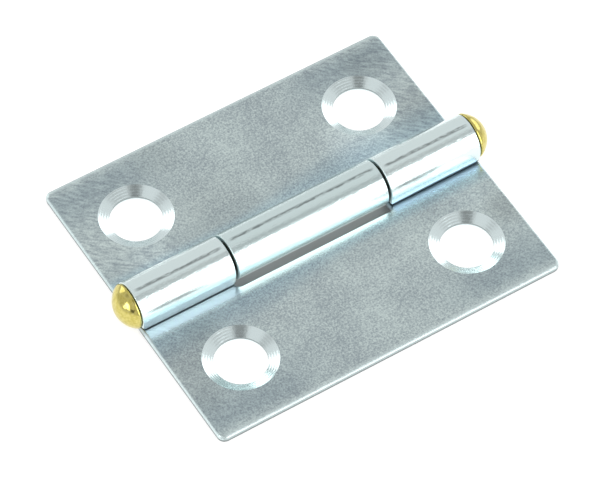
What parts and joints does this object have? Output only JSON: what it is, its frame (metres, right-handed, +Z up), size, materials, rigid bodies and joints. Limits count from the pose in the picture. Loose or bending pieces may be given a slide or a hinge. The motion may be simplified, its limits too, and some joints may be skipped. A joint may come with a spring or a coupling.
{
  "type": "butt hinge",
  "caption": "Small zinc plated steel butt hinge: flat leaves with countersunk screw holes, rolled knuckles and a brass pin with domed heads.",
  "frame": {"origin": "in the plane of the leaves' backs, below the middle of the pin", "axes": "+X along the pin, +Y towards the leaf with the middle knuckle, +Z up through the knuckles, away from the surface that the leaves are screwed to"},
  "size_m": [0.0436, 0.0346, 0.005],
  "materials": {
    "near_leaf_zinc": "bright zinc plating, tumbled",
    "far_leaf_zinc": "bright zinc plating, tumbled",
    "pin_brass": "polished"
  },
  "bodies": {
    "near_side": {"near_leaf": "near_leaf_zinc", "hinge_pin": "pin_brass"},
    "far_side": {"far_leaf": "far_leaf_zinc"}
  },
  "joints": [
    {"name": "leaf_fold", "type": "hinge", "parent": "near_side", "child": "far_side", "pos_m": [0, 0, 0.0025], "axis": [1, 0, 0], "range_deg": [-90, 188]}
  ]
}
